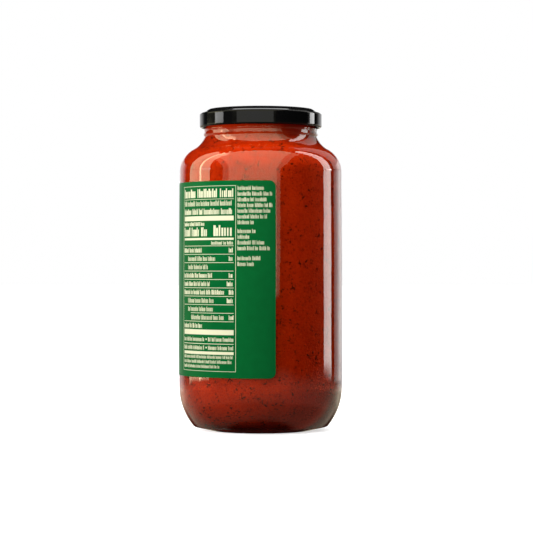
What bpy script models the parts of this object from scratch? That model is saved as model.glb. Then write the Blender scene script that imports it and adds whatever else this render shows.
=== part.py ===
"""A shut glass jar of tomato sauce: clear jar, sauce, black twist-off lid and green wrap label.

Metres, +Z up. The origin is the centre of the circle that the jar stands on.
The side with the small print faces -Y. Angles round the jar are measured from -Y towards +X.
"""

import math

import bmesh
import bpy

# Jar, outside
BODY_RADIUS = 0.0431
SHOULDER_RADIUS = 0.0427
WAIST_HEIGHT = 0.0875
SHOULDER_CORNER = 0.1439
SHOULDER_FILLET = 0.0135
NECK_FOOT_RADIUS = 0.0315
NECK_FOOT_HEIGHT = 0.1503
NECK_FILLET = 0.0130
NECK_RADIUS = 0.0297
NECK_HEIGHT = 0.1546
RING_RADIUS = 0.0303
RING_HEIGHT = 0.1555
RING_LAND = 0.0003
GROOVE_RADIUS = 0.0285
GROOVE_HEIGHT = 0.1573
BEAD_RADIUS = 0.0293
BEAD_HEIGHT = 0.1585
BEAD_SLOPE = 0.0010
RIM_RADIUS = 0.0288
RIM_HEIGHT = 0.1674
RIM_FILLET = 0.0011

# Jar, heel and base
HEEL_RADIUS = 0.0429
HEEL_TOP = 0.0239
HEEL_STEP = 0.0006
HEEL_CORNER = 0.0114
HEEL_FILLET = 0.0325
FOOT_RADIUS = 0.0355
FOOT_HEIGHT = 0.0020
FOOT_FILLET = 0.0012
REST_OUTER_RADIUS = 0.0272
REST_INNER_RADIUS = 0.0240
PUSH_UP_RADIUS = 0.0212
PUSH_UP_EDGE = 0.0017
PUSH_UP = 0.0029

# Jar, inside
WALL = 0.0027
BORE_RADIUS = 0.0269
BORE_FILLET = 0.0110
FLOOR_HEIGHT = 0.0062
FLOOR_CROWN = 0.0006
FLOOR_FILLET = 0.0170

# Sauce
FILL_HEIGHT = 0.1602
GAP = 0.0003

# Lid
LID_HEIGHT = 0.1690
LID_RADIUS = 0.0323
LID_SHEET = 0.0006
LID_SHOULDER_HEIGHT = 0.1664
LID_SHOULDER_FILLET = 0.0008
LID_BEVEL_RADIUS = 0.0290
LID_BEVEL_HEIGHT = 0.1682
LID_BEAD_OUTER = 0.0277
LID_BEAD_INNER = 0.0254
LID_BEAD_FILLET = 0.0005
LID_PANEL_RADIUS = 0.0244
LID_PANEL_HEIGHT = 0.1680
BUTTON_OUTER = 0.0132
BUTTON_INNER = 0.0122
BUTTON_HEIGHT = 0.1676
CURL_HEIGHT = 0.1594
CURL_INNER_RADIUS = 0.0307
CURL_TOP = 0.1611
CURL_FILLET = 0.0009
CURL_INNER_FILLET = 0.0007

# Label
LABEL_END = math.radians(10.2)
LABEL_WRAP = math.radians(260)
LABEL_LOW = 0.02925
LABEL_HIGH = 0.1299
LABEL_CORNER = 0.0032
LABEL_THICKNESS = 0.0003

# Fineness
SIDES = 44
ARC_ERROR = 0.0001
LABEL_STEP = math.radians(7)
CORNER_STEPS = 4


def remove_everything():
    for obj in list(bpy.data.objects):
        bpy.data.objects.remove(obj)


def new_collection(name):
    collection = bpy.data.collections.new(name)
    bpy.context.scene.collection.children.link(collection)
    return collection


def material(name, colour, roughness, metallic=0.0, transmission=0.0):
    made = bpy.data.materials.new(name)
    made.use_nodes = True
    shader = made.node_tree.nodes["Principled BSDF"]
    shader.inputs["Base Color"].default_value = (*colour, 1.0)
    shader.inputs["Roughness"].default_value = roughness
    shader.inputs["Metallic"].default_value = metallic
    shader.inputs["Transmission Weight"].default_value = transmission
    made.diffuse_color = (*colour, 1.0)
    return made


def rounded(corners):
    """Points of the outline through corners of (radius, height, fillet), each fillet as an arc."""
    points = []
    for i, (r, z, fillet) in enumerate(corners):
        if not fillet or i in (0, len(corners) - 1):
            points.append((r, z))
            continue
        back = math.atan2(corners[i - 1][1] - z, corners[i - 1][0] - r)
        ahead = math.atan2(corners[i + 1][1] - z, corners[i + 1][0] - r)
        opening = math.remainder(ahead - back, math.tau)
        middle = back + opening / 2
        reach = fillet / math.sin(abs(opening) / 2)
        centre = (r + reach * math.cos(middle), z + reach * math.sin(middle))
        turn = math.copysign(math.pi, opening) - opening
        steps = math.ceil(abs(turn) / (2 * math.acos(1 - ARC_ERROR / fillet)))
        for step in range(steps + 1):
            angle = middle + math.pi + turn * (0.5 - step / steps)
            points.append((centre[0] + fillet * math.cos(angle), centre[1] + fillet * math.sin(angle)))
    return points


def inset(corners, distance):
    """Corners moved to the right of the outline's run by distance, with their fillets to match."""
    lines = []
    for (r0, z0, _), (r1, z1, _) in zip(corners, corners[1:]):
        length = math.hypot(r1 - r0, z1 - z0)
        along = ((r1 - r0) / length, (z1 - z0) / length)
        lines.append(((r0 + along[1] * distance, z0 - along[0] * distance), along))
    first, last = corners[0], corners[-1]
    moved = [(first[0], lines[0][0][1], 0)]
    for corner, (start, along), (other, onward) in zip(corners[1:], lines, lines[1:]):
        bend = along[0] * onward[1] - along[1] * onward[0]
        way = ((other[0] - start[0]) * onward[1] - (other[1] - start[1]) * onward[0]) / bend
        fillet = corner[2] + math.copysign(distance, bend) if corner[2] else 0
        moved.append((start[0] + way * along[0], start[1] + way * along[1], max(fillet, 0)))
    moved.append((last[0], last[1] - lines[-1][1][0] * distance, 0))
    return moved


def turned(name, points, finish, collection):
    """A solid turned round Z from an outline that runs up its inside and down its outside."""
    mesh = bpy.data.meshes.new(name)
    mesh.from_pydata([(r, 0, z) for r, z in points], [(i, i + 1) for i in range(len(points) - 1)], [])
    obj = bpy.data.objects.new(name, mesh)
    collection.objects.link(obj)
    screw = obj.modifiers.new("Turn", "SCREW")
    screw.steps = SIDES
    screw.render_steps = SIDES
    screw.use_merge_vertices = True
    screw.merge_threshold = 0.00001
    screw.use_smooth_shade = True
    mesh.materials.append(finish)
    return obj


def inside_corners():
    """The jar's inner wall, from the centre of its floor up to its mouth."""
    wall_radius = SHOULDER_RADIUS - WALL
    slope = (SHOULDER_CORNER - NECK_FOOT_HEIGHT) / (SHOULDER_RADIUS - NECK_FOOT_RADIUS)
    drop = WALL * math.hypot(1, slope)
    shoulder = SHOULDER_CORNER - WALL * slope - drop
    return [
        (0, FLOOR_HEIGHT + FLOOR_CROWN, 0),
        (BODY_RADIUS - WALL, FLOOR_HEIGHT - FLOOR_CROWN, FLOOR_FILLET),
        (BODY_RADIUS - WALL, WAIST_HEIGHT, 0),
        (wall_radius, shoulder, SHOULDER_FILLET - WALL),
        (BORE_RADIUS, shoulder + (BORE_RADIUS - wall_radius) * slope, BORE_FILLET),
        (BORE_RADIUS, RIM_HEIGHT, RIM_FILLET),
    ]


def outside_corners():
    """The jar's outer wall, from its rim down to the centre of its base."""
    return [
        (RIM_RADIUS, RIM_HEIGHT, RIM_FILLET),
        (RIM_RADIUS, BEAD_HEIGHT + BEAD_SLOPE, 0),
        (BEAD_RADIUS, BEAD_HEIGHT + RING_LAND, 0),
        (BEAD_RADIUS, BEAD_HEIGHT - RING_LAND, 0),
        (GROOVE_RADIUS, GROOVE_HEIGHT, 0),
        (RING_RADIUS, RING_HEIGHT + RING_LAND, 0),
        (RING_RADIUS, RING_HEIGHT - RING_LAND, 0),
        (NECK_RADIUS, NECK_HEIGHT, 0),
        (NECK_FOOT_RADIUS, NECK_FOOT_HEIGHT, NECK_FILLET),
        (SHOULDER_RADIUS, SHOULDER_CORNER, SHOULDER_FILLET),
        (BODY_RADIUS, WAIST_HEIGHT, 0),
        (BODY_RADIUS, HEEL_TOP + HEEL_STEP, 0),
        (HEEL_RADIUS, HEEL_TOP - HEEL_STEP, 0),
        (HEEL_RADIUS, HEEL_CORNER, HEEL_FILLET),
        (FOOT_RADIUS, FOOT_HEIGHT, FOOT_FILLET),
        (REST_OUTER_RADIUS, 0, 0),
        (REST_INNER_RADIUS, 0, 0),
        (PUSH_UP_RADIUS, PUSH_UP_EDGE, 0),
        (0, PUSH_UP, 0),
    ]


def make_jar(collection):
    glass = material("clear_glass", (0.93, 0.95, 0.95), 0.02, transmission=1.0)
    return turned("glass_jar", rounded(inside_corners() + outside_corners()), glass, collection)


def make_sauce(collection):
    """The sauce, up to a level hidden by the lid's skirt, with a small gap to the glass."""
    walls = inset(inside_corners(), -GAP)
    walls[-1] = (walls[-2][0], FILL_HEIGHT, 0)
    outline = [(0, FILL_HEIGHT)] + rounded(walls)[::-1]
    red = material("sauce_red", (0.42, 0.028, 0.003), 0.45)
    return turned("tomato_sauce", outline, red, collection)


def lid_top_corners():
    """The lid's upper face and skirt, from its centre out and down to the curl."""
    return [
        (0, BUTTON_HEIGHT, 0),
        (BUTTON_INNER, BUTTON_HEIGHT, 0),
        (BUTTON_OUTER, LID_PANEL_HEIGHT, 0),
        (LID_PANEL_RADIUS, LID_PANEL_HEIGHT, 0),
        (LID_BEAD_INNER, LID_HEIGHT, LID_BEAD_FILLET),
        (LID_BEAD_OUTER, LID_HEIGHT, LID_BEAD_FILLET),
        (LID_BEVEL_RADIUS, LID_BEVEL_HEIGHT, 0),
        (LID_RADIUS, LID_SHOULDER_HEIGHT, LID_SHOULDER_FILLET),
        (LID_RADIUS, CURL_TOP, 0),
    ]


def make_lid(collection):
    """The pressed sheet, its skirt rolled inwards at the foot into a solid curl."""
    top = lid_top_corners()
    underside = inset(top, LID_SHEET)[:-1]
    underside.append((LID_RADIUS - LID_SHEET, CURL_TOP + LID_SHEET, 0))
    curl = [
        (CURL_INNER_RADIUS, CURL_TOP, 0),
        (CURL_INNER_RADIUS, CURL_HEIGHT, CURL_INNER_FILLET),
        (LID_RADIUS, CURL_HEIGHT, CURL_FILLET),
    ]
    outline = rounded(underside) + rounded([underside[-1], *curl, top[-1]])[1:-1] + rounded(top)[::-1]
    black = material("lid_black", (0.008, 0.008, 0.008), 0.12)
    return turned("lid", outline[::-1], black, collection)


def body_radius(z):
    """The jar's outer radius at a height on its body."""
    share = max(0, (z - WAIST_HEIGHT) / (SHOULDER_CORNER - WAIST_HEIGHT))
    return BODY_RADIUS + share * (SHOULDER_RADIUS - BODY_RADIUS)


def label_columns():
    """The label's columns as (angle, how far its top and bottom draw in at a rounded end)."""
    corner = LABEL_CORNER / BODY_RADIUS
    turns = [math.radians(90) * i / CORNER_STEPS for i in range(CORNER_STEPS + 1)]
    end = [(corner * (1 - math.cos(t)), LABEL_CORNER * (1 - math.sin(t))) for t in turns]
    plain = LABEL_WRAP - 2 * corner
    count = math.ceil(plain / LABEL_STEP)
    columns = [(LABEL_END - away, drawn) for away, drawn in end]
    columns += [(LABEL_END - corner - plain * i / count, 0) for i in range(1, count)]
    columns += [(LABEL_END - LABEL_WRAP + away, drawn) for away, drawn in reversed(end)]
    return columns


def make_label(collection):
    """The wrap label: a thin shell round the body, open on one side, with rounded corners."""
    sheet = bmesh.new()
    grid = []
    for angle, drawn in label_columns():
        column = []
        for z in (LABEL_LOW + drawn, WAIST_HEIGHT, LABEL_HIGH - drawn):
            radius = body_radius(z) + GAP
            column.append(sheet.verts.new((radius * math.sin(angle), -radius * math.cos(angle), z)))
        grid.append(column)
    for left, right in zip(grid, grid[1:]):
        for row in range(len(left) - 1):
            sheet.faces.new((left[row], left[row + 1], right[row + 1], right[row]))
    mesh = bpy.data.meshes.new("label")
    sheet.to_mesh(mesh)
    sheet.free()
    label = bpy.data.objects.new("label", mesh)
    collection.objects.link(label)
    thickness = label.modifiers.new("Paper", "SOLIDIFY")
    thickness.thickness = LABEL_THICKNESS
    thickness.offset = 1
    mesh.materials.append(material("label_green", (0.004, 0.112, 0.024), 0.35))
    mesh.shade_smooth()
    return label


def main():
    remove_everything()
    jar = new_collection("tomato_sauce_jar")
    make_jar(jar)
    make_sauce(jar)
    make_lid(jar)
    make_label(jar)


main()
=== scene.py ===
import math
import random

import bmesh
import bpy
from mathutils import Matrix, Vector


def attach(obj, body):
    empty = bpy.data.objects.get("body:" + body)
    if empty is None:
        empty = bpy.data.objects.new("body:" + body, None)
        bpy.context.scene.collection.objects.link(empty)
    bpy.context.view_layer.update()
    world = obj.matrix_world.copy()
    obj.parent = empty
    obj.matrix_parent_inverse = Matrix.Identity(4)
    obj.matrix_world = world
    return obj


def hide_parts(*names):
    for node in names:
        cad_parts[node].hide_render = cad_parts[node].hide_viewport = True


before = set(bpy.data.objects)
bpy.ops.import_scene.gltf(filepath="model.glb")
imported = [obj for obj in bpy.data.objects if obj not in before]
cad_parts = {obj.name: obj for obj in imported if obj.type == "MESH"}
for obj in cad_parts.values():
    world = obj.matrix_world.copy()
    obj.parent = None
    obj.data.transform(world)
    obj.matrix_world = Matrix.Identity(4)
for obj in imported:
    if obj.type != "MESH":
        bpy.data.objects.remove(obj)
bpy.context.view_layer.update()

MM = 0.001
SEED = 41

# Jar, outside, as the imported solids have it, but with a fuller groove and bead
BODY_RADIUS = 0.0431
SHOULDER_RADIUS = 0.0427
WAIST_HEIGHT = 0.0875
SHOULDER_CORNER = 0.1439
SHOULDER_FILLET = 0.0135
NECK_FOOT_RADIUS = 0.0315
NECK_FOOT_HEIGHT = 0.1503
NECK_FILLET = 0.0130
NECK_RADIUS = 0.0297
NECK_HEIGHT = 0.1546
RING_RADIUS = 0.0303
RING_HEIGHT = 0.1555
GROOVE_RADIUS = 0.0297
GROOVE_HEIGHT = 0.1573
BEAD_RADIUS = 0.0301
BEAD_HEIGHT = 0.1585
RIM_RADIUS = 0.0288
RIM_HEIGHT = 0.1674
RIM_FILLET = 0.0011
BASE_HEEL_RADIUS = 0.0429
HEEL_TOP = 0.0239
HEEL_CORNER = 0.0114
HEEL_FILLET = 0.0325
FOOT_RADIUS = 0.0355
FOOT_HEIGHT = 0.0020
FOOT_FILLET = 0.0012
REST_OUTER_RADIUS = 0.0272
REST_INNER_RADIUS = 0.0240
PUSH_UP_RADIUS = 0.0212
PUSH_UP_EDGE = 0.0017
PUSH_UP = 0.0029
BEAD_RISE = 0.0012
RING_RISE = 0.0001
HEEL_RISE = 0.0006
SOFT_EDGE = 0.0002

# Jar, inside
WALL = 0.0027
BORE_RADIUS = 0.0269
BORE_FILLET = 0.0110
FLOOR_HEIGHT = 0.0062
FLOOR_CROWN = 0.0006
FLOOR_FILLET = 0.0170
FILL_HEIGHT = 0.1602
SAUCE_SOAK = 0.00015

# Lid
LID_HEIGHT = 0.1690
LID_RADIUS = 0.0323
LID_SHEET = 0.0006
LID_SHOULDER_HEIGHT = 0.1664
LID_BEVEL_RADIUS = 0.0290
LID_BEVEL_HEIGHT = 0.1682
UPPER_BREAK_OUT = 0.0012
UPPER_BREAK_DROP = 0.0007
LOWER_BREAK_IN = 0.0007
LOWER_BREAK_RISE = 0.00055
LID_BEAD_OUTER = 0.0277
LID_BEAD_INNER = 0.0254
LID_PANEL_RADIUS = 0.0244
LID_PANEL_HEIGHT = 0.1680
BUTTON_OUTER = 0.0132
BUTTON_INNER = 0.0122
BUTTON_HEIGHT = 0.1676
CURL_HEIGHT = 0.1594
CURL_INNER_RADIUS = 0.0307
CURL_TOP = 0.1611
CURL_FILLET = 0.0009

# Label
LABEL_END = math.radians(10.2)
LABEL_WRAP = math.radians(260)
LABEL_LOW = 0.02925
LABEL_HIGH = 0.1299
LABEL_CORNER = 0.0032
LABEL_LIFT = 0.00002
LABEL_THICKNESS = 0.00012
PRINT_LIFT = LABEL_LIFT + LABEL_THICKNESS - 0.00001
PRINT_THICKNESS = 0.00004
SHEET_ROWS = (0.05, 0.07, WAIST_HEIGHT, 0.105, 0.12)
SHEET_COLUMNS = 150
CORNER_STEPS = 10

# Print on the label, in mm round the jar from -Y and up it
PANEL_LEFT, PANEL_RIGHT, PANEL_LOW, PANEL_HIGH = -51.0, -12.8, 32.5, 127.4
PANEL_INK_LEFT, PANEL_INK_RIGHT = -49.8, -14.0
ROW_TOP, ROW_PITCH = 96.7, 4.30
SHORT_RULE_ROW, SHORT_RULE_INDENT = 8, 7.2
COLUMN_LEFT = -11.9
FRONT = -112.0
FAR_LEFT, FAR_RIGHT = -184.0, -158.0
TALL_STROKES = 0.22
LOW_STROKE = 0.76

# Inks: colour, roughness, how much lighter the mottle is
INKS = {
    "label_green": ((0.0016, 0.088, 0.0193), 0.38, 1.12),
    "label_cream": ((0.65, 0.637, 0.437), 0.42, 1.04),
    "label_red": ((0.42, 0.012, 0.006), 0.42, 1.12),
    "label_leaf": ((0.10, 0.30, 0.045), 0.42, 1.12),
}

# Sauce
WET = {"roughness": 0.22, "IOR": 1.7, "Specular_Tint": (1.0, 0.06, 0.0, 1.0)}
SAUCE_BRIM = 0.0002
SAUCE_BRIM_IN = 0.0004

# Flecks: piece, finish, dark, light, clusters, flecks in each, spread, least and greatest size, stretch
FLECKS = (
    ("herb_flakes", "herb_brown", (0.024, 0.0028, 0.0005), (0.070, 0.0065, 0.0009),
     620, (2, 8), 0.0010, (0.00014, 0.00055), (1.0, 2.6)),
    ("pepper_specks", "pepper_brown", (0.055, 0.0045, 0.0008), (0.120, 0.0090, 0.0010),
     2600, (1, 4), 0.0022, (0.00010, 0.00028), (1.0, 1.8)),
    ("pulp_bits", "pulp_light", (0.38, 0.020, 0.001), (0.44, 0.030, 0.002),
     600, (1, 2), 0.0020, (0.00012, 0.00035), (1.0, 2.0)),
)
FLECK_SIDES = 7
FLECK_RIM_LIFT = 0.00001
FLECK_DOME = 0.25
FLECK_LEAST_RADIUS = 0.004
FLECKS_START = 0.022
FLECKS_STOP_SHORT = 0.004
HIDDEN_TURN = 0.02
HIDDEN_LOW = 0.003
HIDDEN_HIGH = 0.002

# Fineness: sides of a turned surface, an arc's step, and how near its ends a long run is held flat
SIDES = 192
ARC_STEP = math.radians(3)
HOLD = 0.0002
LONG_RUN = 5 * HOLD
ON_AXIS = 1e-7
NEAR_END = 1e-6

# View
CAMERA_DISTANCE = 1.035
CAMERA_HEIGHT = 0.0860
CAMERA_LENS = 132.1
SENSOR = 36.0
CAMERA_PITCH = math.radians(-0.008)
CAMERA_YAW = math.radians(0.170)

# Lamps: azimuth from -Y towards +X and elevation in degrees, distance, width, height, power
LAMPS = {
    "front": (-21, 45, 0.55, 0.40, 0.50, 1.9),
    "key": (-70, 50, 0.50, 0.25, 0.25, 1.1),
    "low_left": (-55, -3, 0.60, 0.20, 0.20, 3.6),
    "top": (18, 72, 0.45, 0.25, 0.25, 2.7),
    "right": (80, -6, 0.60, 0.20, 0.04, 0.17),
    "back": (175, 40, 0.70, 0.60, 0.50, 5.0),
}
LAMP_AIM = 0.085
DARK_ROOM = 0.006
AMBIENT = 0.11
BACKDROP = (1.0, 1.0, 1.0)

# Colours of the lit fields
WHITE = (1, 1, 1)
WARM = (1.0, 0.98, 0.64)
AMBER = (1.0, 0.94, 0.60)
CREAM = (1.0, 0.96, 0.90)
DUSK = (1.0, 0.88, 0.66)
RED = (1.0, 0.05, 0.01)

# Elevations, in degrees, of the thin band that the lid's skirt reflects towards the camera
LID_BAND_FOOT = (4.02, 4.06)
LID_BAND_HEAD = (4.80, 4.76)
EVERYWHERE, LID_BAND_ONLY, NOT_LID_BAND = 0, 1, -1
LEAN_ENDS = 27

# Floor
FLOOR_HALF = 8.0
FLOOR_DROP = 0.0002
GLOW_NEAR, GLOW_FAR = 0.1, 0.7
GLOW_LEAST = 0.55


def rounded(corners):
    """Points of the outline through corners of (radius, height, fillet), each fillet as an arc."""
    points = []
    for i, (r, z, fillet) in enumerate(corners):
        if not fillet or i in (0, len(corners) - 1):
            points.append((r, z))
            continue
        back = math.atan2(corners[i - 1][1] - z, corners[i - 1][0] - r)
        ahead = math.atan2(corners[i + 1][1] - z, corners[i + 1][0] - r)
        opening = math.remainder(ahead - back, math.tau)
        middle = back + opening / 2
        reach = fillet / math.sin(abs(opening) / 2)
        centre = (r + reach * math.cos(middle), z + reach * math.sin(middle))
        turn = math.copysign(math.pi, opening) - opening
        steps = math.ceil(abs(turn) / ARC_STEP)
        for step in range(steps + 1):
            angle = middle + math.pi + turn * (0.5 - step / steps)
            points.append((centre[0] + fillet * math.cos(angle), centre[1] + fillet * math.sin(angle)))
    return points


def inset(corners, distance):
    """Corners moved to the right of the outline's run by distance, with their fillets to match."""
    lines = []
    for (r0, z0, _), (r1, z1, _) in zip(corners, corners[1:]):
        length = math.hypot(r1 - r0, z1 - z0)
        along = ((r1 - r0) / length, (z1 - z0) / length)
        lines.append(((r0 + along[1] * distance, z0 - along[0] * distance), along))
    first, last = corners[0], corners[-1]
    moved = [(first[0], lines[0][0][1], 0)]
    for corner, (start, along), (other, onward) in zip(corners[1:], lines, lines[1:]):
        bend = along[0] * onward[1] - along[1] * onward[0]
        way = ((other[0] - start[0]) * onward[1] - (other[1] - start[1]) * onward[0]) / bend
        fillet = corner[2] + math.copysign(distance, bend) if corner[2] else 0
        moved.append((start[0] + way * along[0], start[1] + way * along[1], max(fillet, 0)))
    moved.append((last[0], last[1] - lines[-1][1][0] * distance, 0))
    return moved


def on_root(piece, slot, *nodes):
    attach(piece, "root")
    if nodes:
        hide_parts(*nodes)
    return piece


def new_object(name, mesh, finish):
    piece = bpy.data.objects.new(name, mesh)
    bpy.context.scene.collection.objects.link(piece)
    mesh.materials.append(finish)
    return piece


def held(outline):
    """The outline with a point near each end of its long straight runs, so that they shade flat."""
    kept = [outline[0]]
    for (r0, z0), (r1, z1) in zip(outline, outline[1:]):
        length = math.hypot(r1 - r0, z1 - z0)
        if length > LONG_RUN:
            for share in (HOLD / length, 1 - HOLD / length):
                kept.append((r0 + (r1 - r0) * share, z0 + (z1 - z0) * share))
        kept.append((r1, z1))
    return kept


def between_rings(low, high):
    """Faces from one ring of points to the next; a ring of one point is on the axis."""
    faces = []
    for i in range(SIDES):
        j = (i + 1) % SIDES
        if len(low) == 1:
            faces.append((low[0], high[j], high[i]))
        elif len(high) == 1:
            faces.append((low[i], low[j], high[0]))
        else:
            faces.append((low[i], low[j], high[j], high[i]))
    return faces


def turned(name, outline, finish, sharp=50):
    """A closed surface turned round Z from an outline that starts and ends on the axis, or a ring."""
    verts, rings = [], []
    for r, z in held(outline):
        if r < ON_AXIS:
            rings.append([len(verts)])
            verts.append((0, 0, z))
            continue
        rings.append(list(range(len(verts), len(verts) + SIDES)))
        for i in range(SIDES):
            angle = math.tau * i / SIDES
            verts.append((r * math.sin(angle), -r * math.cos(angle), z))
    faces = []
    for low, high in zip(rings, rings[1:]):
        faces += between_rings(low, high)
    mesh = bpy.data.meshes.new(name)
    mesh.from_pydata(verts, [], faces)
    mesh.update()
    piece = new_object(name, mesh, finish)
    face_outwards(mesh)
    mesh.shade_smooth()
    mesh.set_sharp_from_angle(angle=math.radians(sharp))
    return piece


def mesh_of(name, shape):
    """A mesh from a bmesh, which is freed."""
    mesh = bpy.data.meshes.new(name)
    shape.to_mesh(mesh)
    shape.free()
    return mesh


def thicken(piece, name, thickness):
    """Give a sheet its thickness on its outer side."""
    thick = piece.modifiers.new(name, "SOLIDIFY")
    thick.thickness = thickness
    thick.offset = 1


def face_outwards(mesh):
    shape = bmesh.new()
    shape.from_mesh(mesh)
    bmesh.ops.recalc_face_normals(shape, faces=shape.faces)
    if shape.calc_volume(signed=True) < 0:
        bmesh.ops.reverse_faces(shape, faces=shape.faces)
    shape.to_mesh(mesh)
    shape.free()


def inside_corners():
    """The jar's inner wall, from the centre of its floor up to its mouth."""
    wall_radius = SHOULDER_RADIUS - WALL
    slope = (SHOULDER_CORNER - NECK_FOOT_HEIGHT) / (SHOULDER_RADIUS - NECK_FOOT_RADIUS)
    drop = WALL * math.hypot(1, slope)
    shoulder = SHOULDER_CORNER - WALL * slope - drop
    return [
        (0, FLOOR_HEIGHT + FLOOR_CROWN, 0),
        (BODY_RADIUS - WALL, FLOOR_HEIGHT - FLOOR_CROWN, FLOOR_FILLET),
        (BODY_RADIUS - WALL, WAIST_HEIGHT, 0),
        (wall_radius, shoulder, SHOULDER_FILLET - WALL),
        (BORE_RADIUS, shoulder + (BORE_RADIUS - wall_radius) * slope, BORE_FILLET),
        (BORE_RADIUS, RIM_HEIGHT, RIM_FILLET),
    ]


def outside_corners():
    """The jar's outer wall, from its rim down to the centre of its base."""
    return [
        (RIM_RADIUS, RIM_HEIGHT, RIM_FILLET),
        (RIM_RADIUS, BEAD_HEIGHT + BEAD_RISE, SOFT_EDGE),
        (BEAD_RADIUS, BEAD_HEIGHT, 0.0010),
        (GROOVE_RADIUS, GROOVE_HEIGHT, 0.0007),
        (RING_RADIUS, RING_HEIGHT + RING_RISE, 0.0004),
        (NECK_RADIUS, NECK_HEIGHT, SOFT_EDGE),
        (NECK_FOOT_RADIUS, NECK_FOOT_HEIGHT, NECK_FILLET),
        (SHOULDER_RADIUS, SHOULDER_CORNER, SHOULDER_FILLET),
        (BODY_RADIUS, WAIST_HEIGHT, 0),
        (BODY_RADIUS, HEEL_TOP + HEEL_RISE, 0.006),
        (BASE_HEEL_RADIUS, HEEL_CORNER, HEEL_FILLET),
        (FOOT_RADIUS, FOOT_HEIGHT, FOOT_FILLET),
        (REST_OUTER_RADIUS, 0, 0.0008),
        (REST_INNER_RADIUS, 0, 0.0006),
        (PUSH_UP_RADIUS, PUSH_UP_EDGE, 0.0012),
        (0, PUSH_UP, 0),
    ]


def sauce_wall():
    """Outline of the sauce against the glass, from the centre of its floor up to its level."""
    walls = inset(inside_corners(), SAUCE_SOAK)
    walls[-1] = (walls[-2][0], FILL_HEIGHT, 0)
    return rounded(walls)


def lid_corners():
    """The lid's face and skirt, from its centre out and down to the curl."""
    return [
        (0, BUTTON_HEIGHT, 0),
        (BUTTON_INNER, BUTTON_HEIGHT, 0.0008),
        (BUTTON_OUTER, LID_PANEL_HEIGHT, 0.0008),
        (LID_PANEL_RADIUS, LID_PANEL_HEIGHT, 0.0005),
        (LID_BEAD_INNER, LID_HEIGHT, 0.0005),
        (LID_BEAD_OUTER, LID_HEIGHT, 0.0005),
        (LID_BEVEL_RADIUS, LID_BEVEL_HEIGHT, 0.0008),
        (LID_BEVEL_RADIUS + UPPER_BREAK_OUT, LID_BEVEL_HEIGHT - UPPER_BREAK_DROP, 0.0004),
        (LID_RADIUS - LOWER_BREAK_IN, LID_SHOULDER_HEIGHT + LOWER_BREAK_RISE, 0.0004),
        (LID_RADIUS, LID_SHOULDER_HEIGHT, 0.0005),
        (LID_RADIUS, CURL_HEIGHT, CURL_FILLET),
        (CURL_INNER_RADIUS, CURL_HEIGHT, 0.0007),
        (CURL_INNER_RADIUS, CURL_TOP, 0),
        (LID_RADIUS - LID_SHEET, CURL_TOP + LID_SHEET, 0.0003),
        (LID_RADIUS - LID_SHEET, LID_SHOULDER_HEIGHT - LID_SHEET, 0),
        (LID_BEAD_OUTER, LID_HEIGHT - 2 * LID_SHEET, 0),
        (0, BUTTON_HEIGHT - LID_SHEET / 2, 0),
    ]


class Nodes:
    """Short hand for the nodes of one material."""

    # The colour sockets of a Mix node
    FIRST, SECOND, MIXED = 6, 7, 2

    def __init__(self, name, base=(0.8, 0.8, 0.8), roughness=0.5, **sockets):
        self.material = bpy.data.materials.new(name)
        self.material.use_nodes = True
        self.tree = self.material.node_tree
        self.shader = self.tree.nodes["Principled BSDF"]
        self.set("Base Color", (*base, 1))
        self.set("Roughness", roughness)
        for socket, value in sockets.items():
            self.set(socket.replace("_", " "), value)

    def set(self, socket, value):
        self.shader.inputs[socket].default_value = value

    def link(self, source, target):
        self.tree.links.new(source, target)

    def node(self, kind, **inputs):
        node = self.tree.nodes.new(kind)
        for key, value in inputs.items():
            socket = node.inputs[key.replace("_", " ")]
            if isinstance(value, bpy.types.NodeSocket):
                self.link(value, socket)
            else:
                socket.default_value = value
        return node

    def place(self, stretch=(1, 1, 1)):
        """Object coordinates in metres, stretched along each axis."""
        coordinates = self.tree.nodes.new("ShaderNodeTexCoord")
        mapping = self.node("ShaderNodeMapping", Vector=coordinates.outputs["Object"], Scale=stretch)
        return mapping.outputs["Vector"]

    def noise(self, where, scale, detail=3, roughness=0.55):
        look = {"Scale": scale, "Detail": detail, "Roughness": roughness}
        return self.node("ShaderNodeTexNoise", Vector=where, **look).outputs["Fac"]

    def spread(self, value, low, high, to_low=0.0, to_high=1.0):
        made = self.tree.nodes.new("ShaderNodeMapRange")
        self.link(value, made.inputs["Value"])
        made.inputs["From Min"].default_value = low
        made.inputs["From Max"].default_value = high
        made.inputs["To Min"].default_value = to_low
        made.inputs["To Max"].default_value = to_high
        return made.outputs["Result"]

    def blend(self, share, first, second):
        """Colour between first and second; each is a colour or a socket."""
        mix = self.tree.nodes.new("ShaderNodeMix")
        mix.data_type = "RGBA"
        self.link(share, mix.inputs["Factor"])
        for socket, value in ((mix.inputs[self.FIRST], first), (mix.inputs[self.SECOND], second)):
            if isinstance(value, bpy.types.NodeSocket):
                self.link(value, socket)
            else:
                socket.default_value = (*value, 1)
        return mix.outputs[self.MIXED]

    def bump(self, height, strength, distance):
        made = self.node("ShaderNodeBump", Height=height, Strength=strength, Distance=distance)
        self.link(made.outputs["Normal"], self.shader.inputs["Normal"])


def glass_finish():
    """Clear glass with the faint waves of a moulded wall."""
    glass = Nodes("clear_glass", (0.98, 0.985, 0.985), 0.0, Transmission_Weight=1.0, IOR=1.5)
    waves = glass.noise(glass.place((1, 1, 0.45)), 55, detail=1)
    glass.bump(waves, 0.06, 0.002)
    return glass.material


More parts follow.
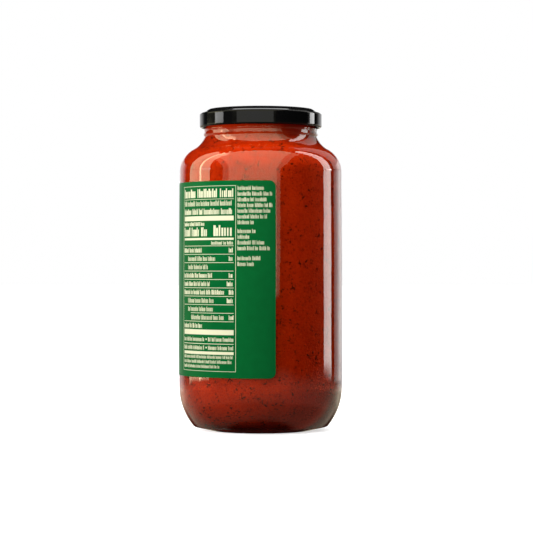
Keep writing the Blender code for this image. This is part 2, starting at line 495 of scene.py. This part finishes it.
def sauce_finish():
    """Tomato pulp: fine grain, soft lighter and darker patches, and a few fine dark points."""
    sauce = Nodes("tomato_pulp", **WET)
    where = sauce.place()
    patches = sauce.spread(sauce.noise(where, 75, detail=2), 0.35, 0.68)
    grain = sauce.spread(sauce.noise(where, 900, detail=2), 0.36, 0.66)
    body = sauce.blend(patches, (0.270, 0.0105, 0.0004), (0.360, 0.0160, 0.0006))
    body = sauce.blend(sauce.spread(grain, 0, 1, 0.0, 0.6), body, (0.440, 0.0240, 0.0010))
    shade = sauce.spread(sauce.noise(where, 420, detail=3, roughness=0.7), 0.56, 0.72, 0.0, 0.70)
    body = sauce.blend(shade, body, (0.085, 0.0050, 0.0010))
    sauce.link(body, sauce.shader.inputs["Base Color"])
    sauce.bump(grain, 0.35, 0.0002)
    return sauce.material


def speck_finish(name, dark, light):
    """A herb or pepper speck, uneven in colour and as wet as the pulp round it."""
    speck = Nodes(name, **WET)
    share = speck.spread(speck.noise(speck.place(), 700), 0.35, 0.65)
    speck.link(speck.blend(share, dark, light), speck.shader.inputs["Base Color"])
    return speck.material


def lid_finish():
    """Gloss black enamel, with the faint upright draw lines of the pressed skirt."""
    lid = Nodes("black_enamel", (0.0025, 0.0025, 0.0025), 0.06, Specular_IOR_Level=0.14)
    lines = lid.noise(lid.place((1, 1, 0.02)), 900, detail=1)
    peel = lid.noise(lid.place(), 420, detail=1)
    both = lid.node("ShaderNodeMath")
    lid.link(lines, both.inputs[0])
    lid.link(peel, both.inputs[1])
    lid.bump(both.outputs["Value"], 0.02, 0.0001)
    rough = lid.spread(lid.noise(lid.place(), 160), 0.3, 0.7, 0.040, 0.060)
    lid.link(rough, lid.shader.inputs["Roughness"])
    return lid.material


def print_finish(name, colour, roughness, lighter):
    """Ink on satin label stock: faint mottle in the colour and a very fine tooth."""
    ink = Nodes(name, roughness=roughness, Specular_IOR_Level=0.04)
    where = ink.place()
    mottle = ink.spread(ink.noise(where, 260, detail=4), 0.3, 0.7)
    pale = tuple(min(c * lighter, 1) for c in colour)
    ink.link(ink.blend(mottle, colour, pale), ink.shader.inputs["Base Color"])
    ink.bump(ink.noise(where, 2600, detail=2), 0.12, 0.00004)
    return ink.material


def body_radius(z):
    """The jar's outer radius at a height on its body."""
    share = max(0, (z - WAIST_HEIGHT) / (SHOULDER_CORNER - WAIST_HEIGHT))
    return BODY_RADIUS + share * (SHOULDER_RADIUS - BODY_RADIUS)


def on_label(u, v, lift):
    """Point on the jar's wall: u mm round it from the -Y side towards +X, v mm up, lift m off it."""
    z = v * MM
    radius = body_radius(z) + lift
    angle = u * MM / BODY_RADIUS
    return (radius * math.sin(angle), -radius * math.cos(angle), z)


class Printing:
    """Flat shapes on the label, in mm round and up it, which become one thin raised piece."""

    STEP = 1.2
    ROW = 6.0

    def __init__(self):
        self.shape = bmesh.new()
        self.lift = PRINT_LIFT

    def strip(self, columns):
        """Columns of (u, low v, high v), from left to right, in rows short enough to follow the wall."""
        rows = math.ceil(max(high - low for _, low, high in columns) / self.ROW)
        grid = []
        for u, low, high in columns:
            heights = [low + (high - low) * i / rows for i in range(rows + 1)]
            grid.append([self.shape.verts.new(on_label(u, v, self.lift)) for v in heights])
        for left, right in zip(grid, grid[1:]):
            for i in range(rows):
                self.shape.faces.new((left[i], right[i], right[i + 1], left[i + 1]))

    def bar(self, left, right, low, high):
        count = max(1, math.ceil((right - left) / self.STEP))
        self.strip([(left + (right - left) * i / count, low, high) for i in range(count + 1)])

    def frame(self, left, right, low, high, line):
        self.bar(left, right, high - line, high)
        self.bar(left, right, low, low + line)
        self.bar(left, left + line, low + line, high - line)
        self.bar(right - line, right, low + line, high - line)

    def band(self, outer, inner, closed=True):
        """The field between two outlines with as many points, each a list of (u, v)."""
        rows = []
        for line in (outer, inner):
            rows.append([self.shape.verts.new(on_label(u, v, self.lift)) for u, v in line])
        count = len(outer) if closed else len(outer) - 1
        for i in range(count):
            j = (i + 1) % len(outer)
            self.shape.faces.new((rows[0][i], rows[0][j], rows[1][j], rows[1][i]))

    def strokes(self, left, right, low, high, draw, pitch=0.46, ink=0.58):
        """Groups of fine upright strokes along one line."""
        at = left
        while at < right - 2 * pitch:
            for stroke in range(2 * draw.randint(2, 8)):
                wide = pitch * ink * draw.uniform(0.7, 1.3)
                if at + wide > right:
                    break
                tall = stroke == 0 or draw.random() < TALL_STROKES
                top = high if tall else low + (high - low) * LOW_STROKE
                self.strip([(at, low, top), (at + wide, low, top)])
                at += pitch
            at += pitch * 1.2

    def piece(self, name, finish):
        """The shapes as one thin piece that faces away from the jar."""
        bmesh.ops.recalc_face_normals(self.shape, faces=self.shape.faces)
        for face in self.shape.faces:
            middle = face.calc_center_median()
            if face.normal.dot(Vector((middle.x, middle.y, 0))) < 0:
                face.normal_flip()
        made = new_object(name, mesh_of(name, self.shape), finish)
        thicken(made, "Ink", PRINT_THICKNESS)
        return on_root(made, "label_print")


def ellipse(u, v, wide, tall, count=72):
    """Points of an ellipse round (u, v), anticlockwise."""
    steps = [math.tau * i / count for i in range(count)]
    return [(u + wide * math.cos(a), v + tall * math.sin(a)) for a in steps]


def sheet_columns():
    """Angle round the jar of each column of the label, and how far a corner draws its ends in."""
    corner = LABEL_CORNER / BODY_RADIUS
    turns = [math.radians(90) * i / CORNER_STEPS for i in range(CORNER_STEPS + 1)]
    end = [(corner * (1 - math.cos(t)), LABEL_CORNER * (1 - math.sin(t))) for t in turns]
    plain = LABEL_WRAP - 2 * corner
    columns = [(LABEL_END - away, drawn) for away, drawn in end]
    columns += [(LABEL_END - corner - plain * i / SHEET_COLUMNS, 0) for i in range(1, SHEET_COLUMNS)]
    columns += [(LABEL_END - LABEL_WRAP + away, drawn) for away, drawn in reversed(end)]
    return columns


def label_sheet(finish):
    """The label itself: a thin sheet on the glass with rounded corners."""
    shape = bmesh.new()
    grid = []
    for angle, drawn in sheet_columns():
        u = angle * BODY_RADIUS / MM
        heights = (LABEL_LOW + drawn, *SHEET_ROWS, LABEL_HIGH - drawn)
        grid.append([shape.verts.new(on_label(u, z / MM, LABEL_LIFT)) for z in heights])
    for left, right in zip(grid, grid[1:]):
        for row in range(len(left) - 1):
            shape.faces.new((left[row], left[row + 1], right[row + 1], right[row]))
    sheet = new_object("label_sheet", mesh_of("label_sheet", shape), finish)
    thicken(sheet, "Paper", LABEL_THICKNESS)
    return on_root(sheet, "label_print", "label")


def panel_head(ink, draw):
    """The framed panel's upper part: lines of broad and fine strokes, a rule and two bars."""
    left, right = PANEL_INK_LEFT, PANEL_INK_RIGHT
    ink.frame(PANEL_LEFT, PANEL_RIGHT, PANEL_LOW, PANEL_HIGH, 0.2)
    ink.strokes(left, right, 121.5, 125.9, draw, 1.15, 0.68)
    ink.bar(left, right, 120.5, 120.7)
    ink.strokes(left, right - 1, 117.2, 119.8, draw, 0.52, 0.50)
    ink.strokes(left, right, 112.8, 115.8, draw, 0.64, 0.66)
    ink.bar(left, right, 109.6, 112.0)
    ink.strokes(left, left + 19, 107.0, 109.0, draw, 0.46, 0.62)
    ink.strokes(left, left + 21, 101.7, 106.2, draw, 1.10, 0.68)
    ink.strokes(right - 11.6, right, 101.7, 107.2, draw, 1.60, 0.70)
    ink.bar(left, right, 99.7, 100.8)
    ink.strokes(right - 13.0, right, 97.3, 99.1, draw, 0.42, 0.60)


def panel_rows(ink, draw):
    """The framed panel's rows of strokes, each under a rule, some with a short group at their end."""
    left, right = PANEL_INK_LEFT, PANEL_INK_RIGHT
    ends = (17.5, 25.4, 21, 24.2, 22, 31, 24.5, 24, 31.5, 16.5)
    indents = (0, 4.6, 4.6, 0, 0, 0, 4.6, 4.6, 7.7, 0)
    values = (2.6, 2.6, 0, 2.6, 3.7, 2.6, 3.7, 0, 2.6, 0)
    for row, (end, indent, value) in enumerate(zip(ends, indents, values)):
        top = ROW_TOP - ROW_PITCH * row
        start = left + (SHORT_RULE_INDENT if row == SHORT_RULE_ROW else 0)
        ink.bar(start, right, top - 0.12, top + 0.12)
        share = 0.50 if indent else 0.64
        ink.strokes(left + indent, left + end, top - 3.4, top - 1.0, draw, 0.48, share)
        if value:
            ink.strokes(right - value, right, top - 3.4, top - 1.0, draw, 0.55, 0.72)


def panel_foot(ink, draw):
    """The framed panel's lower part: three bars, two split lines and three fine ones."""
    left, right = PANEL_INK_LEFT, PANEL_INK_RIGHT
    ink.bar(left, right, 51.2, 53.8)
    for low in (47.8, 43.5):
        ink.strokes(left, -31.5, low, low + 2.1, draw)
        ink.bar(-30.7, -29.9, low + 0.7, low + 1.5)
        ink.strokes(-29.0, right, low, low + 2.1, draw)
    ink.bar(left, right, 46.4, 46.7)
    ink.bar(left, right, 41.1, 42.6)
    for line, end in enumerate((36, 35, 28)):
        low = 39.0 - 2.45 * line
        ink.strokes(left, left + end, low, low + 1.7, draw, 0.36, 0.52)


def side_blocks(ink, draw):
    """The three small blocks of strokes beside the panel."""
    blocks = (
        (125.0, (1.7, 6.2, 4.5, 6.2, 5.6, 3.2, -3.4)),
        (103.1, (-2.2, -5.3, 1.9, 4.8)),
        (89.3, (0.1, -2.4)),
    )
    for low, ends in blocks:
        for line, end in enumerate(ends):
            at = low - 2.9 * line
            ink.strokes(COLUMN_LEFT, end, at, at + 2.1, draw, 0.44, 0.56)


def front_design(cream, red, leaf):
    """The hidden front of the label: a plain oval with a tomato, and two bare ribbons."""
    centre, middle = FRONT, 86.0
    cream.band(ellipse(centre, middle, 25.5, 33.5), ellipse(centre, middle, 24.5, 32.5))
    cream.band(ellipse(centre, middle, 23.6, 31.6), ellipse(centre, middle, 22.9, 30.9))
    tomato(red, leaf, cream, centre, middle + 1.5, 13.5)
    for low, high, reach in ((41.5, 46.5, 24), (37.4, 38.2, 24), (34.6, 35.2, 18)):
        cream.bar(centre - reach, centre + reach, low, high)
    for side in (-1, 1):
        for step in range(5):
            u = centre + side * (28.8 + 0.3 * step)
            v = 62.0 + 12 * step
            leaf.band(ellipse(u, v, 1.5, 3.6, 20), ellipse(u, v, 0.2, 0.6, 20))


def tomato(red, leaf, cream, u, v, size):
    """A round tomato with six shallow lobes, a pale glint and a five-pointed leaf on top."""
    outline = []
    for i in range(96):
        a = math.tau * i / 96
        lobes = 1 + 0.018 * math.cos(6 * a) - 0.10 * max(0, math.sin(a)) ** 6
        outline.append((u + size * 1.12 * lobes * math.cos(a), v + size * lobes * math.sin(a)))
    rings = 12
    for ring in range(rings):
        edges = [max(ring, 0.1) / rings, (ring + 1) / rings]
        inner, outer = [[(u + (x - u) * edge, v + (y - v) * edge) for x, y in outline] for edge in edges]
        red.band(outer, inner)
    tomato_glint(cream, u, v, size)
    tomato_leaf(leaf, u, v + size * 0.84)


def tomato_glint(cream, u, v, size):
    """A curved glint on the tomato's upper left."""
    cream.lift += PRINT_THICKNESS
    glint = [math.radians(115 + 55 * i / 12) for i in range(13)]
    cream.band(
        [(u + size * 0.86 * math.cos(a), v + size * 0.78 * math.sin(a)) for a in glint],
        [(u + size * 0.76 * math.cos(a), v + size * 0.70 * math.sin(a)) for a in glint],
        closed=False,
    )
    cream.lift -= PRINT_THICKNESS


def tomato_leaf(leaf, u, v):
    """Five pointed arms round the place where the stalk was."""
    leaf.lift += PRINT_THICKNESS
    for step in range(5):
        a = math.radians(90 + 72 * step)
        tip = (u + 8.5 * math.cos(a) * 1.1, v + 5.0 * math.sin(a))
        side = (1.6 * math.sin(a), -1.6 * math.cos(a))
        left, right = [arm_edge((u, v), tip, side, way) for way in (1, -1)]
        leaf.band([*left, tip], [*right, (tip[0] + 0.1, tip[1])], closed=False)
    leaf.lift -= PRINT_THICKNESS


def arm_edge(foot, tip, side, way):
    """The foot and middle of one edge of a leaf's arm, to the side or away from it."""
    return [
        (foot[0] + way * side[0], foot[1] + way * side[1]),
        ((foot[0] + tip[0]) / 2 + way * side[0] * 0.7, (foot[1] + tip[1]) / 2 + way * side[1] * 0.7),
    ]


def far_side(ink, draw):
    """The label's other end: a small framed grid and lines of strokes."""
    left, right = FAR_LEFT, FAR_RIGHT
    ink.frame(left, right, 84, 126, 0.45)
    for row in range(5):
        ink.bar(left + 1, right - 1, 117.5 - 7 * row, 117.9 - 7 * row)
        ink.strokes(left + 2, right - 3 - 3 * (row % 3), 119.6 - 7 * row, 122.0 - 7 * row, draw)
    for line, short in enumerate((0, 3, 1, 6, 2, 0, 4, 1, 9)):
        at = 78 - 4.4 * line
        ink.strokes(left, right - short, at, at + 2.0, draw)


def make_label():
    inks = {name: print_finish(name, *ink) for name, ink in INKS.items()}
    label_sheet(inks["label_green"])
    draw = random.Random(SEED)
    cream, red, leaf = Printing(), Printing(), Printing()
    for design in (panel_head, panel_rows, panel_foot, side_blocks, far_side):
        design(cream, draw)
    front_design(cream, red, leaf)
    cream.piece("label_print_cream", inks["label_cream"])
    red.piece("label_print_red", inks["label_red"])
    leaf.piece("label_print_leaf", inks["label_leaf"])


class Wall:
    """Places on the sauce's outer face, by way along its outline and angle round the jar."""

    def __init__(self):
        self.points = sauce_wall()
        self.runs = [0.0]
        for (r0, z0), (r1, z1) in zip(self.points, self.points[1:]):
            self.runs.append(self.runs[-1] + math.hypot(r1 - r0, z1 - z0))

    def at(self, way):
        """Radius and height at a way along the outline, and the two parts of its outward direction."""
        way = min(max(way, 0), self.runs[-1] - NEAR_END)
        i = max(j for j, run in enumerate(self.runs[:-1]) if run <= way)
        (r0, z0), (r1, z1) = self.points[i], self.points[i + 1]
        length = self.runs[i + 1] - self.runs[i]
        share = (way - self.runs[i]) / length
        place = (r0 + (r1 - r0) * share, z0 + (z1 - z0) * share)
        return (*place, (z1 - z0) / length, -(r1 - r0) / length)

    def point(self, way, angle, lift):
        r, z, out_r, out_z = self.at(way)
        r += out_r * lift
        return (r * math.sin(angle), -r * math.cos(angle), z + out_z * lift)

    def shown(self, way, angle):
        """False where the label hides the sauce."""
        _, z, _, _ = self.at(way)
        turn = (LABEL_END - angle) % math.tau
        level = LABEL_LOW + HIDDEN_LOW < z < LABEL_HIGH - HIDDEN_HIGH
        return not (HIDDEN_TURN < turn < LABEL_WRAP - HIDDEN_TURN and level)


def fleck(shape, wall, way, angle, size, stretch, lean, height, draw):
    """One flat uneven speck lying in the sauce's face, domed outwards, closed below."""
    radius = max(wall.at(way)[0], FLECK_LEAST_RADIUS)
    rim = []
    for i in range(FLECK_SIDES):
        turn = math.tau * i / FLECK_SIDES
        reach = size * draw.uniform(0.65, 1.25)
        along, across = reach * stretch * math.cos(turn), reach * math.sin(turn)
        du = along * math.cos(lean) - across * math.sin(lean)
        dv = along * math.sin(lean) + across * math.cos(lean)
        rim.append(shape.verts.new(wall.point(way + dv, angle + du / radius, FLECK_RIM_LIFT)))
    top = shape.verts.new(wall.point(way, angle, height))
    foot = shape.verts.new(wall.point(way, angle, -height))
    for i in range(FLECK_SIDES):
        j = (i + 1) % FLECK_SIDES
        shape.faces.new((rim[i], rim[j], top))
        shape.faces.new((rim[j], rim[i], foot))


def scattered(name, finish, wall, clusters, per_cluster, spread, sizes, stretches, seed):
    """Specks in loose clusters over all of the sauce that shows, as one piece."""
    draw = random.Random(seed)
    shape = bmesh.new()
    first, last = wall.runs[0] + FLECKS_START, wall.runs[-1] - FLECKS_STOP_SHORT
    placed = 0
    while placed < clusters:
        way = draw.uniform(first, last)
        angle = draw.uniform(0, math.tau)
        if draw.random() > wall.at(way)[0] / BODY_RADIUS or not wall.shown(way, angle):
            continue
        placed += 1
        for _ in range(draw.randint(*per_cluster)):
            off_way = way + draw.gauss(0, spread)
            off_angle = angle + draw.gauss(0, spread) / BODY_RADIUS
            if not first < off_way < last or not wall.shown(off_way, off_angle):
                continue
            drawn = draw.lognormvariate(math.log(sizes[0] * 1.6), 0.45)
            size = min(sizes[1], max(sizes[0], drawn))
            lean = draw.uniform(0, math.pi)
            stretch = draw.uniform(*stretches)
            fleck(shape, wall, off_way, off_angle, size, stretch, lean, size * FLECK_DOME, draw)
    bmesh.ops.recalc_face_normals(shape, faces=shape.faces)
    return on_root(new_object(name, mesh_of(name, shape), finish), "sauce")


def make_sauce():
    walls = sauce_wall()
    level = FILL_HEIGHT + SAUCE_BRIM
    top = [(walls[-1][0] - SAUCE_BRIM_IN, level), (0, level)]
    pulp = turned("sauce_body", walls + top, sauce_finish())
    on_root(pulp, "sauce", "tomato_sauce")
    wall = Wall()
    for number, (name, finish, dark, light, *scatter) in enumerate(FLECKS, 1):
        scattered(name, speck_finish(finish, dark, light), wall, *scatter, SEED + number)


def make_glass():
    walls = rounded(inside_corners() + outside_corners())
    jar = turned("jar_glass", walls, glass_finish(), sharp=38)
    jar.visible_shadow = False
    return on_root(jar, "clear_glass", "glass_jar")


def make_lid():
    lid = turned("twist_off_lid", rounded(lid_corners()), lid_finish())
    return on_root(lid, "lid_enamel", "lid")


class Sky:
    """The studio round the jar, as soft-edged lit fields by direction."""

    def __init__(self):
        self.world = bpy.data.worlds.new("studio")
        bpy.context.scene.world = self.world
        self.world.use_nodes = True
        self.tree = self.world.node_tree
        self.tree.nodes.clear()
        place = self.tree.nodes.new("ShaderNodeTexCoord")
        parts = self.tree.nodes.new("ShaderNodeSeparateXYZ")
        self.tree.links.new(place.outputs["Generated"], parts.inputs["Vector"])
        backward = self.maths("MULTIPLY", parts.outputs["Y"], -1.0)
        self.azimuth = self.maths("ARCTAN2", parts.outputs["X"], backward)
        self.elevation = self.maths("ARCSINE", parts.outputs["Z"])
        self.side = self.maths("ARCSINE", parts.outputs["X"])
        self.pitch = self.maths("ARCTAN2", parts.outputs["Z"], backward)
        self.lid_band = self.product(
            self.edge(self.elevation, *LID_BAND_FOOT), self.edge(self.elevation, *LID_BAND_HEAD)
        )
        self.path = self.tree.nodes.new("ShaderNodeLightPath")
        self.light = None

    def maths(self, operation, *values):
        node = self.tree.nodes.new("ShaderNodeMath")
        node.operation = operation
        for socket, value in zip(node.inputs, values):
            if isinstance(value, bpy.types.NodeSocket):
                self.tree.links.new(value, socket)
            else:
                socket.default_value = value
        return node.outputs["Value"]

    def edge(self, value, start, full):
        """0 on one side of an edge and 1 on the other, rising from start to full."""
        ramp = self.tree.nodes.new("ShaderNodeMapRange")
        ramp.interpolation_type = "SMOOTHSTEP"
        self.tree.links.new(value, ramp.inputs["Value"])
        ramp.inputs["From Min"].default_value = math.radians(start)
        ramp.inputs["From Max"].default_value = math.radians(full)
        return ramp.outputs["Result"]

    def product(self, share, *others):
        for other in others:
            share = self.maths("MULTIPLY", share, other)
        return share

    def between(self, value, low, high, foot, head):
        """The two edges of the stretch from low to high, soft by foot and head to each side of them."""
        return self.edge(value, low - foot, low + foot), self.edge(value, high + head, high - head)

    def field(self, colour, strength, left, right, low, high, soft=0.6, foot=0.1, part=EVERYWHERE):
        """A lit field between two azimuths and two elevations, in degrees.

        A thin band of elevations is all that the lid's skirt reflects towards the camera. A field can
        keep to that band or leave it out, as a flag in front of the lamp makes it.
        """
        across = self.between(self.azimuth, left, right, soft, soft)
        up = self.between(self.elevation, low, high, foot, soft)
        self.add(colour, strength, self.kept(self.product(*across, *up), part))

    def kept(self, share, part):
        """The share everywhere, in the lid's band only, or outside it only."""
        if part == EVERYWHERE:
            return share
        band = self.lid_band if part == LID_BAND_ONLY else self.maths("SUBTRACT", 1.0, self.lid_band)
        return self.product(share, band)

    def sweep(self, colour, strength, left, right, flare, low=-0.9, soft=0.4, part=EVERYWHERE):
        """A lit field that curves up from the front to overhead, its right side leaning out by flare."""
        lean = self.product(self.maths("MINIMUM", self.pitch, math.radians(LEAN_ENDS)), flare)
        near = self.edge(self.side, left - soft, left + soft)
        far = self.edge(self.maths("SUBTRACT", self.side, lean), right + soft, right - soft)
        up = self.between(self.pitch, low, 90, 0.15, 0.5)
        self.add(colour, strength, self.kept(self.product(near, far, *up), part))

    def around(self, colour, strength, start, full, low, high, soft=3, end=400):
        """A field alike on both sides, growing from azimuth start to full, not seen through the glass."""
        away = self.maths("ABSOLUTE", self.azimuth)
        across = self.edge(away, start, full), self.edge(away, end, end - 14)
        up = self.between(self.elevation, low, high, soft, 0.4)
        self.add(colour, strength, self.unrefracted(self.product(*across, *up)))

    def overhead(self, colour, strength, reach, low, high):
        """A narrow field above and behind the jar, which only the lid's bevel mirrors to the camera."""
        across = self.edge(self.side, -reach, 1 - reach), self.edge(self.side, reach, reach - 1)
        up = self.between(self.pitch, low, high, 0.5, 0.5)
        self.add(colour, strength, self.unrefracted(self.product(*across, *up)))

    def unrefracted(self, share):
        """The share with nothing for rays that have just passed through glass."""
        through = self.path.outputs["Is Transmission Ray"]
        return self.maths("MULTIPLY", share, self.maths("SUBTRACT", 1.0, through))

    def add(self, colour, strength, share):
        tint = self.tree.nodes.new("ShaderNodeVectorMath")
        tint.operation = "SCALE"
        tint.inputs[0].default_value = [c * strength for c in colour]
        self.tree.links.new(share, tint.inputs["Scale"])
        if self.light is None:
            self.light = tint.outputs["Vector"]
            return
        total = self.tree.nodes.new("ShaderNodeVectorMath")
        self.tree.links.new(self.light, total.inputs[0])
        self.tree.links.new(tint.outputs["Vector"], total.inputs[1])
        self.light = total.outputs["Vector"]

    def background(self, **inputs):
        """A background whose inputs are constants or sockets."""
        made = self.tree.nodes.new("ShaderNodeBackground")
        for name, value in inputs.items():
            if isinstance(value, bpy.types.NodeSocket):
                self.tree.links.new(value, made.inputs[name])
            else:
                made.inputs[name].default_value = value
        return made.outputs["Background"]

    def finish(self):
        """Camera rays see a plain pale backdrop, and the pulp's own bounces a plain dim room."""
        direct = self.maths("LESS_THAN", self.path.outputs["Diffuse Depth"], 0.5)
        bounced = self.product(self.maths("SUBTRACT", 1.0, direct), AMBIENT)
        both = self.tree.nodes.new("ShaderNodeAddShader")
        self.tree.links.new(self.background(Color=self.light, Strength=direct), both.inputs[0])
        self.tree.links.new(self.background(Strength=bounced), both.inputs[1])
        mix = self.tree.nodes.new("ShaderNodeMixShader")
        self.tree.links.new(self.path.outputs["Is Camera Ray"], mix.inputs["Fac"])
        self.tree.links.new(both.outputs["Shader"], mix.inputs[1])
        self.tree.links.new(self.background(Color=(*BACKDROP, 1)), mix.inputs[2])
        output = self.tree.nodes.new("ShaderNodeOutputWorld")
        self.tree.links.new(mix.outputs["Shader"], output.inputs["Surface"])
        self.world.cycles_visibility.diffuse = False
        self.world.cycles.sampling_method = "NONE"


def front_box(sky):
    """The dark room, the wide soft box in front and overhead, and the field for the lid's bevel."""
    sky.field(WHITE, DARK_ROOM, -400, 400, -200, 200)
    sky.sweep(WARM, 1.10, -54.5, 26.6, 0.36, part=NOT_LID_BAND)
    sky.sweep(WARM, 1.35, -45.5, 22.3, 0.18, part=NOT_LID_BAND)
    sky.sweep(WHITE, 2.35, -45.5, 24, 0, part=LID_BAND_ONLY)
    sky.overhead(WHITE, 2.3, 10, 137, 147)


def side_lights(sky):
    """The panel on the left with its bright strip, the lights on the right, and the lid's two strips."""
    for strength, left, right, high in ((3.3, -120, -97, 56), (4.4, -93, -77, 60), (12.0, -97, -93, 66)):
        sky.field(AMBER, strength, left, right, -3.4, high, soft=0.4, part=NOT_LID_BAND)
    sky.field(CREAM, 5.6, 100, 118, -3.03, 62, foot=0.25, part=NOT_LID_BAND)
    sky.field(RED, 0.8, 35, 120, -60, -16, soft=8, foot=8)
    sky.field(CREAM, 0.75, 127, 156, -3.3, 58, part=NOT_LID_BAND)
    for strength, left, right in ((14.0, -95, -74.5), (16.0, 106, 121)):
        sky.field(WHITE, strength, left, right, 3, 6, part=LID_BAND_ONLY)


def room_glow(sky):
    """Dim fields behind and below the jar."""
    sky.around(WHITE, 1.1, 130, 148, -4, 12)
    sky.around(DUSK, 0.6, 120, 155, -12, -3.8)
    sky.around(DUSK, 0.3, 100, 135, -50, -4.5, end=160)
    for strength, low in ((0.20, -60), (0.14, -25)):
        sky.around(DUSK, strength, -2, -1, low, -3.2, soft=4, end=160)


def make_studio():
    sky = Sky()
    for lights in (front_box, side_lights, room_glow):
        lights(sky)
    sky.finish()
    for name, lamp in LAMPS.items():
        add_lamp(name, *lamp)
    floor()


def add_lamp(name, azimuth, elevation, distance, width, height, power):
    """A soft lamp aimed at the jar's middle; it lights but isn't seen in the gloss."""
    lamp = bpy.data.lights.new(name, "AREA")
    lamp.shape = "RECTANGLE"
    lamp.size = width
    lamp.size_y = height
    lamp.energy = power
    made = bpy.data.objects.new(name, lamp)
    bpy.context.scene.collection.objects.link(made)
    around, up = math.radians(azimuth), math.radians(elevation)
    way = Vector((math.sin(around) * math.cos(up), -math.cos(around) * math.cos(up), math.sin(up)))
    made.location = Vector((0, 0, LAMP_AIM)) + way * distance
    made.rotation_euler = way.to_track_quat("Z", "Y").to_euler()
    made.visible_camera = False
    made.visible_glossy = False
    made.visible_transmission = False


def floor():
    """A wide flat white floor. It glows more away from the jar, so that it stays as pale as the backdrop.
    """
    mesh = bpy.data.meshes.new("floor")
    signs = ((-1, -1), (1, -1), (1, 1), (-1, 1))
    mesh.from_pydata([(x * FLOOR_HALF, y * FLOOR_HALF, 0) for x, y in signs], [], [(0, 1, 2, 3)])
    pale = Nodes("pale_floor", (0.9, 0.9, 0.9), 0.9)
    away = pale.node("ShaderNodeVectorMath")
    away.operation = "LENGTH"
    pale.link(pale.place(), away.inputs[0])
    pale.set("Emission Color", (1, 1, 1, 1))
    glow = pale.spread(away.outputs["Value"], GLOW_NEAR, GLOW_FAR, GLOW_LEAST, 1.0)
    pale.link(glow, pale.shader.inputs["Emission Strength"])
    ground = new_object("floor", mesh, pale.material)
    ground.location.z = -FLOOR_DROP
    ground.visible_glossy = False
    ground.visible_diffuse = False
    ground.visible_transmission = False


def make_camera():
    data = bpy.data.cameras.new("camera")
    data.lens = CAMERA_LENS
    data.sensor_width = SENSOR
    data.sensor_fit = "HORIZONTAL"
    camera = bpy.data.objects.new("camera", data)
    bpy.context.scene.collection.objects.link(camera)
    camera.location = (0, -CAMERA_DISTANCE, CAMERA_HEIGHT)
    camera.rotation_euler = (math.radians(90) - CAMERA_PITCH, 0, -CAMERA_YAW)
    bpy.context.scene.camera = camera


bpy.context.scene.view_settings.view_transform = "Standard"
make_camera()
make_studio()
make_glass()
make_sauce()
make_lid()
make_label()
